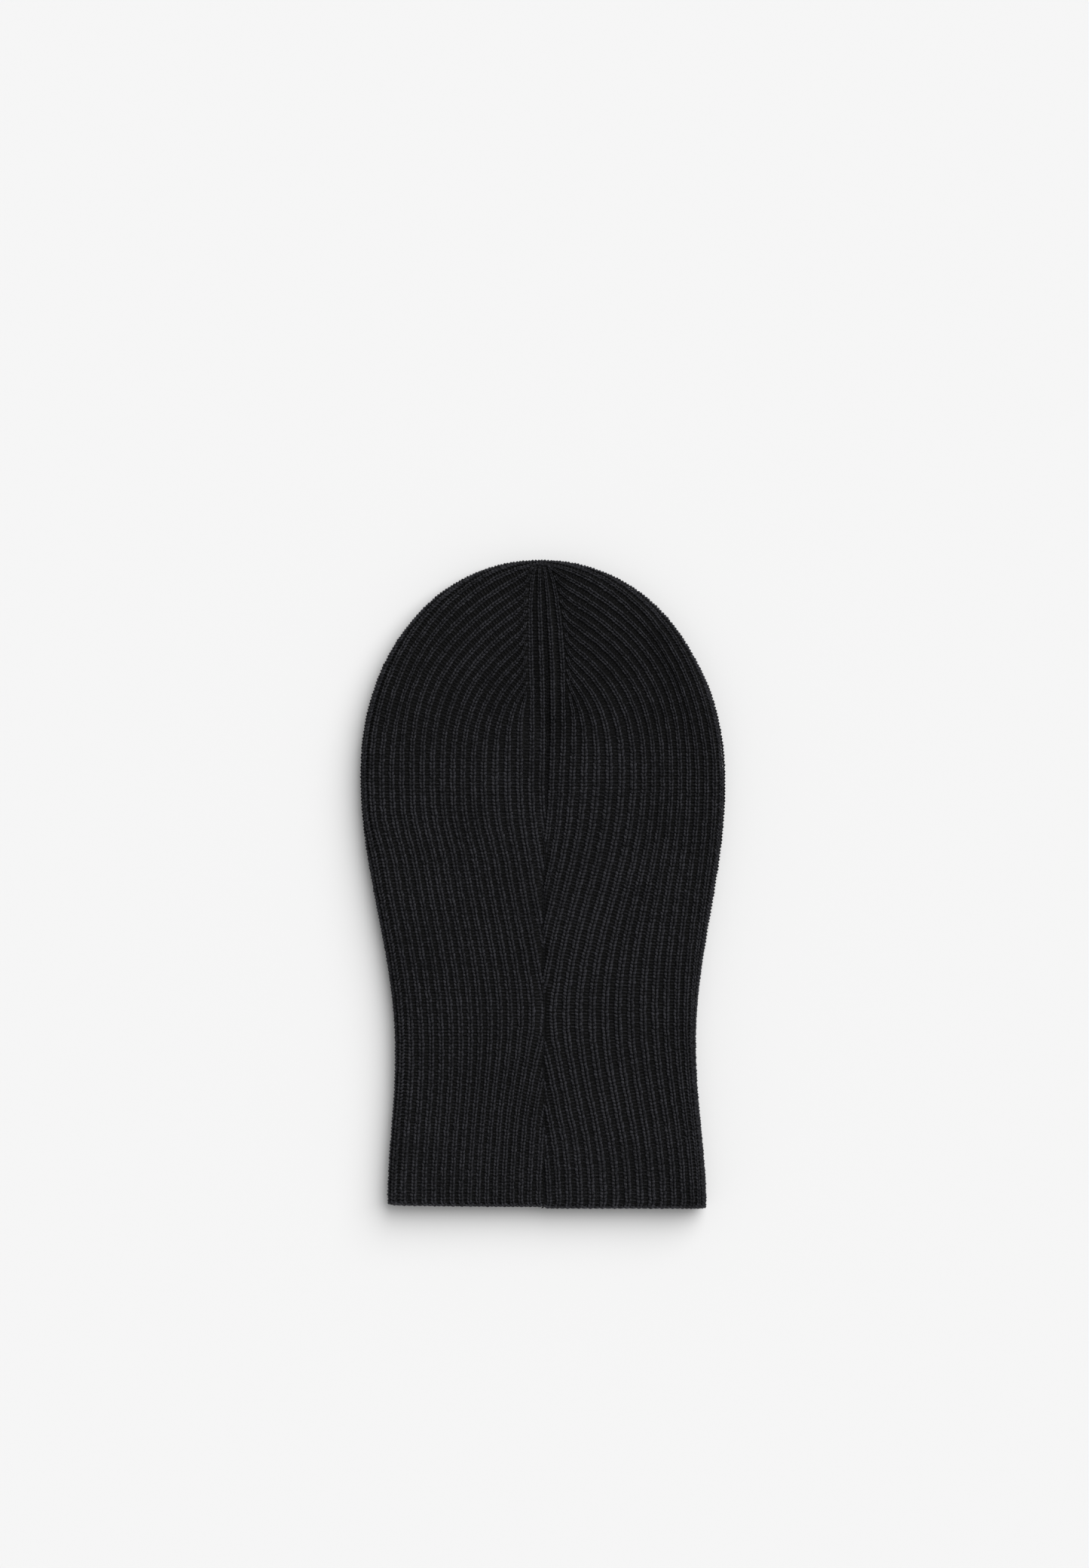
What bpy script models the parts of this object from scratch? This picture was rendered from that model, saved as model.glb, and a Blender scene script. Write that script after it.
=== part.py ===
"""A rib-knitted balaclava lying flat on its front, its back up.

Metres, +Z up. The crown points to +Y, the neck mouth to -Y, and the wearer's left is at -X.
The origin is on the surface it lies on, under the middle of its outline.
"""

import math

import bmesh
import bpy
from mathutils import Matrix, Vector

# Outline of the flat-lying piece, by height above the hem
LENGTH = 0.388
HEM_HALF_WIDTH = 0.0959
NECK_HALF_WIDTH = 0.0905
HEAD_HALF_WIDTH = 0.1096
NECK_HEIGHT = 0.095
HEAD_HEIGHT = 0.257
DOME_POWER = 2.08

# Cross-section
OVERALL_THICKNESS = 0.017
FABRIC = 0.0036
FOLD_RADIUS = OVERALL_THICKNESS / 2
CLEARANCE = 0.0003

# Centre back seam: a web between the panel's edges, and the turned-in selvedges under it
SEAM_SLOT = 0.0014
SEAM_RIDGE_WIDTH = 0.006
SEAM_RIDGE_THICKNESS = 0.0012
SEAM_TOP_MARGIN = 0.016
TACK_LENGTH = 0.003
TACK_DIAMETER = 0.0016

# Face opening, in the lower layer
FACE_HEIGHT = 0.262
FACE_HALF_WIDTH = 0.058
FACE_HALF_LENGTH = 0.074
BAND_WIDTH = 0.017
BAND_THICKNESS = 0.0034
LINKING_DIAMETER = 0.0014
BAND_JOIN_GAP = 0.0014

# Care label, hanging from the seam inside the neck
LABEL_WIDTH = 0.024
LABEL_LENGTH = 0.036
LABEL_THICKNESS = 0.0006
LABEL_HEIGHT = 0.060

# Mesh density
NECK_ROWS = 14
DOME_ROWS = 12
FLAT_STEPS = 3
FOLD_STEPS = 6
OVAL_STEPS = 48

HALF_LENGTH = LENGTH / 2
TOP_LAYER_UNDERSIDE = OVERALL_THICKNESS - FABRIC
PARTS = "balaclava"
CUTTERS = "balaclava_cutters"


def clear_scene():
    for obj in list(bpy.data.objects):
        bpy.data.objects.remove(obj, do_unlink=True)


def collection(name):
    made = bpy.data.collections.new(name)
    bpy.context.scene.collection.children.link(made)
    return made


def principled(name, colour, roughness):
    material = bpy.data.materials.new(name)
    material.use_nodes = True
    shader = material.node_tree.nodes["Principled BSDF"]
    shader.inputs["Base Color"].default_value = (*colour, 1.0)
    shader.inputs["Roughness"].default_value = roughness
    shader.inputs["Metallic"].default_value = 0.0
    return material


def object_from(mesh_or_curve, name, material, smooth=True):
    obj = bpy.data.objects.new(name, mesh_or_curve)
    bpy.data.collections[PARTS].objects.link(obj)
    obj.data.materials.append(material)
    if smooth and obj.type == "MESH":
        mesh_or_curve.shade_smooth()
        mesh_or_curve.set_sharp_from_angle(angle=math.radians(40))
    return obj


def mesh_from(bm, name):
    bmesh.ops.recalc_face_normals(bm, faces=bm.faces)
    mesh = bpy.data.meshes.new(name)
    bm.to_mesh(mesh)
    bm.free()
    return mesh


def welded_mesh(curve, name):
    """The curve's tube as one closed mesh."""
    source = bpy.data.objects.new(name + "_curve", curve)
    bpy.data.collections[CUTTERS].objects.link(source)
    bpy.context.view_layer.update()
    tube = bpy.data.meshes.new_from_object(source.evaluated_get(bpy.context.evaluated_depsgraph_get()))
    bpy.data.objects.remove(source)
    bm = bmesh.new()
    bm.from_mesh(tube)
    bpy.data.meshes.remove(tube)
    bmesh.ops.remove_doubles(bm, verts=bm.verts, dist=1e-6)
    return mesh_from(bm, name)


def cutter_from(bm, name):
    cutter = bpy.data.objects.new(name, mesh_from(bm, name))
    bpy.data.collections[CUTTERS].objects.link(cutter)
    cutter.hide_render = True
    cutter.display_type = "WIRE"
    return cutter


def cut(obj, cutter):
    modifier = obj.modifiers.new(cutter.name, "BOOLEAN")
    modifier.operation = "DIFFERENCE"
    modifier.solver = "EXACT"
    modifier.object = cutter


def box(bm, low, high):
    """Adds a closed box between two corners."""
    low, high = Vector(low), Vector(high)
    place = Matrix.Translation((low + high) / 2) @ Matrix.Diagonal((*(high - low), 1.0))
    bmesh.ops.create_cube(bm, size=1.0, matrix=place)


def eased(low, high, share):
    """From low to high along half a cosine wave."""
    return low + (high - low) * (1 - math.cos(math.pi * share)) / 2


def half_width(height):
    """Half the width of the flat outline at a height above the hem, up to the widest place."""
    if height < NECK_HEIGHT:
        return eased(HEM_HALF_WIDTH, NECK_HALF_WIDTH, height / NECK_HEIGHT)
    share = (height - NECK_HEIGHT) / (HEAD_HEIGHT - NECK_HEIGHT)
    return eased(NECK_HALF_WIDTH, HEAD_HALF_WIDTH, share)


def arch_stations():
    """Pairs of a point on the centre line and the outline point level with it or round the dome.

    They run up the right side from the hem, over the crown, and down the left side.
    """
    right = []
    for i in range(NECK_ROWS):
        height = HEAD_HEIGHT * i / NECK_ROWS
        right.append((Vector((0, height)), Vector((half_width(height), height))))
    middle = Vector((0, HEAD_HEIGHT))
    for i in range(DOME_ROWS):
        angle = math.pi / 2 * i / DOME_ROWS
        across = HEAD_HALF_WIDTH * math.cos(angle) ** (2 / DOME_POWER)
        along = (LENGTH - HEAD_HEIGHT) * math.sin(angle) ** (2 / DOME_POWER)
        right.append((middle, middle + Vector((across, along))))
    crown = (middle, Vector((0, LENGTH)))
    left = [(spine, Vector((-edge.x, edge.y))) for spine, edge in reversed(right)]
    return [*right, crown, *left]


def section(spine, edge):
    """The outer surface along one station: top layer outwards, round the fold, lower layer back."""
    reach = (edge - spine).length
    outwards = (edge - spine).normalized()
    flat = [(reach - FOLD_RADIUS) * i / FLAT_STEPS for i in range(FLAT_STEPS)]
    profile = [(along, OVERALL_THICKNESS) for along in flat]
    for i in range(FOLD_STEPS + 1):
        angle = math.pi / 2 - math.pi * i / FOLD_STEPS
        along = reach - FOLD_RADIUS + FOLD_RADIUS * math.cos(angle)
        profile.append((along, FOLD_RADIUS + FOLD_RADIUS * math.sin(angle)))
    profile += [(along, 0.0) for along in reversed(flat)]
    points = []
    for along, z in profile:
        place = spine + outwards * along
        points.append(Vector((place.x, place.y - HALF_LENGTH, z)))
    return points


def body_surface():
    """The bag as one open surface: lofted sections, open at the hem."""
    bm = bmesh.new()
    rows = [[bm.verts.new(p) for p in section(*station)] for station in arch_stations()]
    for row, following in zip(rows, rows[1:]):
        for i in range(len(row) - 1):
            corners = [row[i], row[i + 1], following[i + 1], following[i]]
            bm.faces.new(corners)
    bmesh.ops.remove_doubles(bm, verts=bm.verts, dist=1e-6)
    bmesh.ops.dissolve_degenerate(bm, edges=bm.edges, dist=1e-6)
    return mesh_from(bm, "knit_body")


def oval(half_across, half_along, z):
    """Points round the face opening, from below the chin and back to it."""
    middle = FACE_HEIGHT - HALF_LENGTH
    points = []
    for i in range(OVAL_STEPS):
        angle = -math.pi / 2 + 2 * math.pi * i / OVAL_STEPS
        across = half_across * math.cos(angle)
        points.append(Vector((across, middle + half_along * math.sin(angle), z)))
    return points


def face_cutter():
    """An upright oval prism through the lower layer only."""
    bm = bmesh.new()
    below, above = -FABRIC, OVERALL_THICKNESS / 2
    margin = BAND_WIDTH + LINKING_DIAMETER + 2 * CLEARANCE
    rings = [
        [bm.verts.new(p) for p in oval(FACE_HALF_WIDTH + margin, FACE_HALF_LENGTH + margin, z)]
        for z in (below, above)
    ]
    for i in range(OVAL_STEPS):
        j = (i + 1) % OVAL_STEPS
        bm.faces.new((rings[0][i], rings[0][j], rings[1][j], rings[1][i]))
    bm.faces.new(rings[0])
    bm.faces.new(rings[1])
    return cutter_from(bm, "face_cutter")


def seam_cutter():
    """The slot between the panel's two edges at the centre back."""
    bm = bmesh.new()
    top = HALF_LENGTH - SEAM_TOP_MARGIN
    low = (-SEAM_SLOT / 2, -HALF_LENGTH - FABRIC, OVERALL_THICKNESS / 2)
    box(bm, low, (SEAM_SLOT / 2, top, OVERALL_THICKNESS + FABRIC))
    return cutter_from(bm, "seam_cutter")


def band_join_cutter():
    """The gap between the face band's two ends, under the chin."""
    bm = bmesh.new()
    side = BAND_JOIN_GAP / 2
    inner = FACE_HEIGHT - HALF_LENGTH - FACE_HALF_LENGTH
    low = (-side, inner - BAND_WIDTH - FABRIC, -FABRIC)
    box(bm, low, (side, inner + FABRIC, BAND_THICKNESS + FABRIC))
    return cutter_from(bm, "band_join_cutter")


def knit_body(yarn):
    body = object_from(body_surface(), "knit_body", yarn)
    layers = body.modifiers.new("fabric", "SOLIDIFY")
    layers.thickness = FABRIC
    layers.offset = -1
    layers.use_even_offset = True
    cut(body, seam_cutter())
    cut(body, face_cutter())


def centre_back_seam(yarn):
    """The turned-in selvedges: a ridge inside the panel, with a web up between its edges."""
    bm = bmesh.new()
    start = -HALF_LENGTH + TACK_LENGTH + CLEARANCE
    end = HALF_LENGTH - SEAM_TOP_MARGIN - TACK_LENGTH - 2 * CLEARANCE
    top = TOP_LAYER_UNDERSIDE - CLEARANCE
    low = top - SEAM_RIDGE_THICKNESS
    web = SEAM_SLOT / 2 - CLEARANCE
    side = SEAM_RIDGE_WIDTH / 2
    outline = [
        (-side, low),
        (side, low),
        (side, top),
        (web, top),
        (web, OVERALL_THICKNESS - CLEARANCE),
        (-web, OVERALL_THICKNESS - CLEARANCE),
        (-web, top),
        (-side, top),
    ]
    profile = bm.faces.new([bm.verts.new((x, start, z)) for x, z in outline])
    grown = bmesh.ops.extrude_face_region(bm, geom=[profile])["geom"]
    moved = [v for v in grown if isinstance(v, bmesh.types.BMVert)]
    bmesh.ops.translate(bm, verts=moved, vec=(0, end - start, 0))
    object_from(mesh_from(bm, "centre_back_seam"), "centre_back_seam", yarn)


def tack(name, y, yarn):
    """A fastened yarn end: a short rounded knot in the end of the seam's slot."""
    bm = bmesh.new()
    z = OVERALL_THICKNESS - FABRIC / 2
    place = Matrix.Translation((0, y, z)) @ Matrix.Diagonal(
        (SEAM_SLOT - 2 * CLEARANCE, TACK_LENGTH, TACK_DIAMETER, 1.0)
    )
    bmesh.ops.create_uvsphere(bm, u_segments=12, v_segments=8, radius=0.5, matrix=place)
    object_from(mesh_from(bm, name), name, yarn)


def oval_curve(name, margin, z):
    """A closed poly curve round the face opening."""
    curve = bpy.data.curves.new(name, "CURVE")
    curve.dimensions = "3D"
    spline = curve.splines.new("POLY")
    points = oval(FACE_HALF_WIDTH + margin, FACE_HALF_LENGTH + margin, z)
    spline.points.add(len(points) - 1)
    for point, place in zip(spline.points, points):
        point.co = (*place, 1.0)
    spline.use_cyclic_u = True
    return curve


def face_band(yarn):
    """A ribbed strip bent round the opening, its two ends a little apart under the chin."""
    curve = oval_curve("face_band", BAND_WIDTH / 2, BAND_THICKNESS / 2)
    profile = bpy.data.curves.new("face_band_profile", "CURVE")
    profile.dimensions = "2D"
    outline = profile.splines.new("POLY")
    corner = BAND_THICKNESS / 3
    across, up = BAND_WIDTH / 2, BAND_THICKNESS / 2
    corners = [
        (across - corner, -up),
        (across, -up + corner),
        (across, up - corner),
        (across - corner, up),
        (-across + corner, up),
        (-across, up - corner),
        (-across, -up + corner),
        (-across + corner, -up),
    ]
    outline.points.add(len(corners) - 1)
    for point, (x, y) in zip(outline.points, corners):
        point.co = (x, y, 0.0, 1.0)
    outline.use_cyclic_u = True
    guide = bpy.data.objects.new("face_band_profile", profile)
    bpy.data.collections[CUTTERS].objects.link(guide)
    guide.hide_render = True
    curve.bevel_mode = "OBJECT"
    curve.bevel_object = guide
    curve.twist_mode = "Z_UP"
    band = object_from(welded_mesh(curve, "face_band"), "face_band", yarn)
    cut(band, band_join_cutter())


def face_band_linking(yarn):
    margin = BAND_WIDTH + CLEARANCE + LINKING_DIAMETER / 2
    curve = oval_curve("face_band_linking", margin, FABRIC / 2)
    curve.bevel_depth = LINKING_DIAMETER / 2
    curve.bevel_resolution = 1
    object_from(curve, "face_band_linking", yarn)


def face_band_join(yarn):
    """The chained yarn between the strip's two ends."""
    bm = bmesh.new()
    thick = BAND_JOIN_GAP / 2 - CLEARANCE
    inner = FACE_HEIGHT - HALF_LENGTH - FACE_HALF_LENGTH
    low = (-thick, inner - BAND_WIDTH + CLEARANCE, CLEARANCE)
    box(bm, low, (thick, inner - CLEARANCE, BAND_THICKNESS - CLEARANCE))
    object_from(mesh_from(bm, "face_band_join"), "face_band_join", yarn)


def care_label(ribbon):
    """A blank ribbon folded in two, hanging beside the seam's ridge."""
    bm = bmesh.new()
    top = TOP_LAYER_UNDERSIDE - 2 * CLEARANCE
    near = SEAM_RIDGE_WIDTH / 2 + TACK_DIAMETER + 2 * CLEARANCE
    y = LABEL_HEIGHT - HALF_LENGTH
    low = (near, y - LABEL_LENGTH / 2, top - LABEL_THICKNESS)
    box(bm, low, (near + LABEL_WIDTH, y + LABEL_LENGTH / 2, top))
    object_from(mesh_from(bm, "care_label"), "care_label", ribbon, smooth=False)


def care_label_stitching(yarn):
    """The row of lockstitch between the label's folded edge and the seam."""
    curve = bpy.data.curves.new("care_label_stitching", "CURVE")
    curve.dimensions = "3D"
    spline = curve.splines.new("POLY")
    x = SEAM_RIDGE_WIDTH / 2 + CLEARANCE + TACK_DIAMETER / 2
    y = LABEL_HEIGHT - HALF_LENGTH
    z = TOP_LAYER_UNDERSIDE - 2 * CLEARANCE - TACK_DIAMETER / 2
    spline.points.add(1)
    spline.points[0].co = (x, y - LABEL_LENGTH / 2, z, 1.0)
    spline.points[1].co = (x, y + LABEL_LENGTH / 2, z, 1.0)
    curve.bevel_depth = TACK_DIAMETER / 2
    curve.bevel_resolution = 1
    curve.use_fill_caps = True
    object_from(curve, "care_label_stitching", yarn)


def main():
    clear_scene()
    collection(PARTS)
    collection(CUTTERS)
    black_yarn = principled("black_yarn", (0.014, 0.014, 0.016), 0.9)
    seam_yarn = principled("seam_yarn", (0.008, 0.008, 0.009), 0.85)
    ribbon = principled("label_ribbon", (0.62, 0.61, 0.58), 0.6)
    knit_body(black_yarn)
    centre_back_seam(seam_yarn)
    tack("hem_seam_tack", -HALF_LENGTH + TACK_LENGTH / 2, seam_yarn)
    seam_top = HALF_LENGTH - SEAM_TOP_MARGIN - CLEARANCE
    tack("crown_seam_tack", seam_top - TACK_LENGTH / 2, seam_yarn)
    face_band(black_yarn)
    face_band_linking(seam_yarn)
    face_band_join(seam_yarn)
    care_label(ribbon)
    care_label_stitching(seam_yarn)


main()
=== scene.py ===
"""The balaclava's looks: a black wool rib knit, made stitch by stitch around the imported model.

Lengths are in metres. "up" is the height above the hem, along +Y. A half of the knit is the part to one
side of the centre line, and x within it is measured from that line outwards. The outline "laid flat"
is the outline with the rounded fold at its sides opened out.
"""

import math
from collections import namedtuple

import bpy
import numpy as np
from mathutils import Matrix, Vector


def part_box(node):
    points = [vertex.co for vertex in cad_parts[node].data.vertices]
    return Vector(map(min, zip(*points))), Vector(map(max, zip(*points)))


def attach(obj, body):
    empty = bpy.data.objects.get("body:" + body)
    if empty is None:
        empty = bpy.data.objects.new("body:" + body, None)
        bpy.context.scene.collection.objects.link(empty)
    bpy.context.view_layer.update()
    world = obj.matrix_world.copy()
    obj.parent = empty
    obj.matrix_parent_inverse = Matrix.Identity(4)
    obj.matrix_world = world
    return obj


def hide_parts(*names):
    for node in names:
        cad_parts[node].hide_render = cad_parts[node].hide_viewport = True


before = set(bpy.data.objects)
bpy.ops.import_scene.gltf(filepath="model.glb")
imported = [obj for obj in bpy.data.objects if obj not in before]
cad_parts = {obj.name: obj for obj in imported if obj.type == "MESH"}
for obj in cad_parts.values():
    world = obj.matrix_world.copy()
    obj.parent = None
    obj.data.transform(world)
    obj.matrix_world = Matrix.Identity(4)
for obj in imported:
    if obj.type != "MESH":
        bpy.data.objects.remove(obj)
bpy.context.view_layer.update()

MM = 0.001
BODY_LOW, BODY_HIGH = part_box("knit_body")
LINK_LOW, LINK_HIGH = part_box("face_band_linking")
BAND_LOW, BAND_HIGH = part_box("face_band")
LABEL_LOW, LABEL_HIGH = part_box("care_label")

# Outline of the piece lying flat, as the CAD body has it
HEM_Y = BODY_LOW.y
LENGTH = BODY_HIGH.y - HEM_Y
THICKNESS = BODY_HIGH.z
FOLD = THICKNESS / 2
HEAD_HALF = BODY_HIGH.x
NECK_HALF = HEAD_HALF - 19.1 * MM
HEM_HALF = HEAD_HALF - 13.7 * MM
NECK_UP = 95 * MM
HEAD_UP = 257 * MM
DOME_POWER = 2.08
FABRIC = 3.6 * MM
EASE = (math.pi / 2 - 1) * FOLD  # what the fold adds to each side of the outline laid flat
WIDE = HEAD_HALF + EASE

# How it lies: the hem drawn a little to the right, and the seam not quite in the middle
LEAN_AT_CROWN = -1.0 * MM
LEAN_AT_HEM = 2.9 * MM
LEFT_HEM_RISE = 1.0 * MM

# The knit
COURSE = 2.0 * MM
STRAY = 0.09 * MM  # how far a stitch sits from its even place
RIB = 6.0 * MM
WIDEST_UP = 254 * MM
FRONT_RIBS = 20  # in each half of the front
EDGE_RIBS = 2  # ribs of each half that run up beside the seam to the crown
EDGE_WIDTH = 12.5 * MM
NARROWING_UP = 290 * MM
SEAM_TOP_UP = 378 * MM
FIRST_JOIN_UP = 302.5 * MM  # where the first rib beside them meets them
JOIN_STEP = 7.1 * MM
FIRST_OVER = 14  # from this rib outwards, they pass over the crown
OVER_FIRST, OVER_STEP = 6.2 * MM, 4.9 * MM
CLEAR_OF_SEAM = 0.35 * MM  # how near the seam's line stitches come
CLEAR_OF_HEM = 0.7 * MM
CHAIN_ROOM = 0.42 * RIB  # the width of the linking chains
GROUND_DEPTH, GROUND_THICKNESS = 1.9 * MM, 0.3 * MM
GROUND_RIM = 0.985  # the ground's edge at the face opening, as a share of the oval where the band joins
INSIDE_SHOWN_UP = 50 * MM  # how far up the neck the inside of the fabric is stitched
PIECE_FACES = 180_000

# How many points the outline's side and dome have, and a rib's line up to the widest place
SIDE_POINTS, DOME_POINTS, LOWER_POINTS = 420, 520, 260

# The strip round the face opening
BAND_WIDTH = 17 * MM
BAND_FOLD = BAND_HIGH.z / 2
BAND_RIBS = 94
BAND_FLAT = BAND_WIDTH - BAND_FOLD
BAND_ROUND = 2 * BAND_FLAT + math.pi * BAND_FOLD  # from its outer edge underneath, round, and back

# Where a half's ribs lie. At the widest place they are counted from the seam, and further on by wider
# steps over some of them. At the neck and the hem they are counted from the fold, by a cubic, in mm.
Widest = namedtuple("Widest", "first pitch extra start over")
Half = namedtuple("Half", "sign ribs widest neck neck_from neck_to hem hem_from hem_to")
RIGHT = Half(
    sign=+1,
    ribs=18,
    widest=Widest(2.9 * MM, 5.25 * MM, 13.7 * MM, 0.1, 8.8),
    neck=(1.65, 3.92, 1.008, -0.0484),
    neck_from=268 * MM,
    neck_to=-33 * MM,
    hem=(2.92, 2.263, 0.516, -0.0175),
    hem_from=213 * MM,
    hem_to=22 * MM,
)
LEFT = Half(
    sign=-1,
    ribs=19,
    widest=Widest(3.3 * MM, 6.07 * MM, 4.4 * MM, 0.6, 4.9),
    neck=(2.94, 6.22, -0.040, 0.0022),
    neck_from=240 * MM,
    neck_to=204 * MM,
    hem=(1.07, 7.10, -0.178, 0.0051),
    hem_from=138 * MM,
    hem_to=45 * MM,
)
PINCH, PINCH_UP = 3.0 * MM, 113 * MM  # how much nearer the seam the innermost ribs come at the neck

random = np.random.default_rng(7)


# ---------------------------------------------------------------- outline and surface


def smooth(share):
    """0 to 1 with no corner at either end."""
    share = np.clip(share, 0, 1)
    return (1 - np.cos(np.pi * share)) / 2


def bell(x, width):
    return np.exp(-((x / width) ** 2))


def half_width(up):
    """Half the outline's width at a height, up to the widest place."""
    neck = HEM_HALF + (NECK_HALF - HEM_HALF) * smooth(up / NECK_UP)
    head = NECK_HALF + (HEAD_HALF - NECK_HALF) * smooth((up - NECK_UP) / (HEAD_UP - NECK_UP))
    corner = 1.2 * MM * np.clip(1 - up / (5 * MM), 0, 2) ** 2
    return np.where(up < NECK_UP, neck - corner, head)


def right_outline():
    """Points of the outline from below the hem to the crown, and their outward directions."""
    up = np.linspace(-12 * MM, HEAD_UP, SIDE_POINTS, endpoint=False)
    angle = np.linspace(0, math.pi / 2, DOME_POINTS)
    x = HEAD_HALF * np.cos(angle).clip(0) ** (2 / DOME_POWER)
    y = HEAD_UP + (LENGTH - HEAD_UP) * np.sin(angle) ** (2 / DOME_POWER)
    points = np.vstack([np.column_stack([half_width(np.maximum(up, 4 * MM)), up]), np.column_stack([x, y])])
    along = np.gradient(points, axis=0)
    along[-1] = (-1, 0)
    along /= np.linalg.norm(along, axis=1)[:, None]
    return points, np.column_stack([along[:, 1], -along[:, 0]])


OUTLINE, OUTWARDS = right_outline()
LAID_FLAT = OUTLINE + EASE * OUTWARDS
DOME = slice(SIDE_POINTS, SIDE_POINTS + DOME_POINTS)


def nearest(points):
    """For points on the right half laid flat, which outline point is nearest."""
    found = np.empty(len(points), int)
    for start in range(0, len(points), 4000):
        part = points[start : start + 4000]
        apart = part[:, None, :] - LAID_FLAT[None, :, :]
        found[start : start + 4000] = (apart**2).sum(2).argmin(1)
    return found


def seam_at(up):
    """How far to the right of the centre line the centre back seam lies."""
    pulled = 4.5 * MM * bell(up - 300 * MM, 90 * MM) - 1.2 * MM
    stepped = 0.45 * MM * np.sin(up / (4.6 * MM)) * smooth((235 * MM - up) / (25 * MM))
    return pulled + stepped


def lean(up):
    return LEAN_AT_HEM + (LEAN_AT_CROWN - LEAN_AT_HEM) * up / LENGTH


def hem_up(x):
    """The hem's height, which is a little more on the left half."""
    left = LEFT_HEM_RISE * (1 + 1.1 * (x / HEM_HALF) ** 2)
    return 0.2 * MM + left * smooth((-x + 1 * MM) / (3 * MM))


def relief(x, up):
    """How far the back layer lies above or below its mean level."""
    groove = -1.3 * MM * bell(x - seam_at(up), 1.8 * MM) * smooth((SEAM_TOP_UP - up) / (4 * MM))
    hollow = -3.4 * MM * bell(x - seam_at(up), 13 * MM) * bell(up - 287 * MM, 13 * MM)
    from_edge = np.abs(x - seam_at(up)) - 0.62 * edge_strip(up)
    step = -1.2 * MM * bell(from_edge, 2.4 * MM) * smooth((up - 292 * MM) / (14 * MM))
    waves = 0.35 * MM * np.sin(x / (17 * MM) + 1.0) * np.sin(up / (41 * MM) + 0.4)
    waves += 0.3 * MM * np.sin((x + 0.6 * up) / (13 * MM)) * bell(up - 150 * MM, 80 * MM)
    sag = -1.2 * MM * smooth((260 * MM - up) / (60 * MM)) * bell(x, 70 * MM)
    return groove + hollow + step + waves + sag


def lay(points, tangents, side, depth=0.0):
    """Lays points of the fabric, and directions along it, over the surface of the bag.

    side is +1 for the back layer, on top, and -1 for the front layer, on the floor. Returns the places,
    and the directions along the tangents, across them and out of the surface.
    """
    mirror = np.where(points[:, 0] < 0, -1.0, 1.0)
    flip = np.column_stack([mirror, np.ones(len(points))])
    p, t = points * flip, tangents * flip
    i = nearest(p)
    out = OUTWARDS[i]
    inside = ((LAID_FLAT[i] - p) * out).sum(1)
    turn = np.clip(inside / FOLD, -math.pi / 2, math.pi / 2)
    beside = p - LAID_FLAT[i] + inside[:, None] * out
    on_fold = OUTLINE[i] + (FOLD * np.cos(turn) - FOLD)[:, None] * out + beside
    flat = np.where((inside < FOLD * math.pi / 2)[:, None], on_fold, p)
    sin, cos = np.sin(turn), np.cos(turn)
    normal = np.column_stack([out * cos[:, None], side * sin])
    place = np.column_stack([flat, FOLD + side * FOLD * sin]) - depth * normal
    if side > 0:
        place[:, 2] += relief(points[:, 0], points[:, 1]) * np.clip(sin, 0, 1) ** 2
    outward = (t * out).sum(1)
    rest = t - outward[:, None] * out
    along = np.column_stack([rest + (outward * sin)[:, None] * out, -side * outward * cos])
    for vectors in (place, along, normal):
        vectors[:, 0] *= mirror
    along /= np.linalg.norm(along, axis=1)[:, None]
    across = np.cross(along, normal)
    place[:, 0] += lean(place[:, 1])
    place[:, 1] += HEM_Y
    return place, along, across, normal


# ---------------------------------------------------------------- rib lines


def edge_strip(up):
    """Half-width of the strip of ribs beside the seam, which narrows towards the crown."""
    share = np.clip((up - NARROWING_UP) / (LENGTH - NARROWING_UP), 0, 0.98)
    return EDGE_WIDTH * np.sqrt(1 - share**4)


def widest_x(half, j):
    """Distance from the seam of its j-th rib at the widest place."""
    w = half.widest
    return w.first + w.pitch * j + w.extra * smooth((j - w.start) / w.over)


def from_fold(cubic, k):
    return sum(c * k**n for n, c in enumerate(cubic)) * MM


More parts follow.
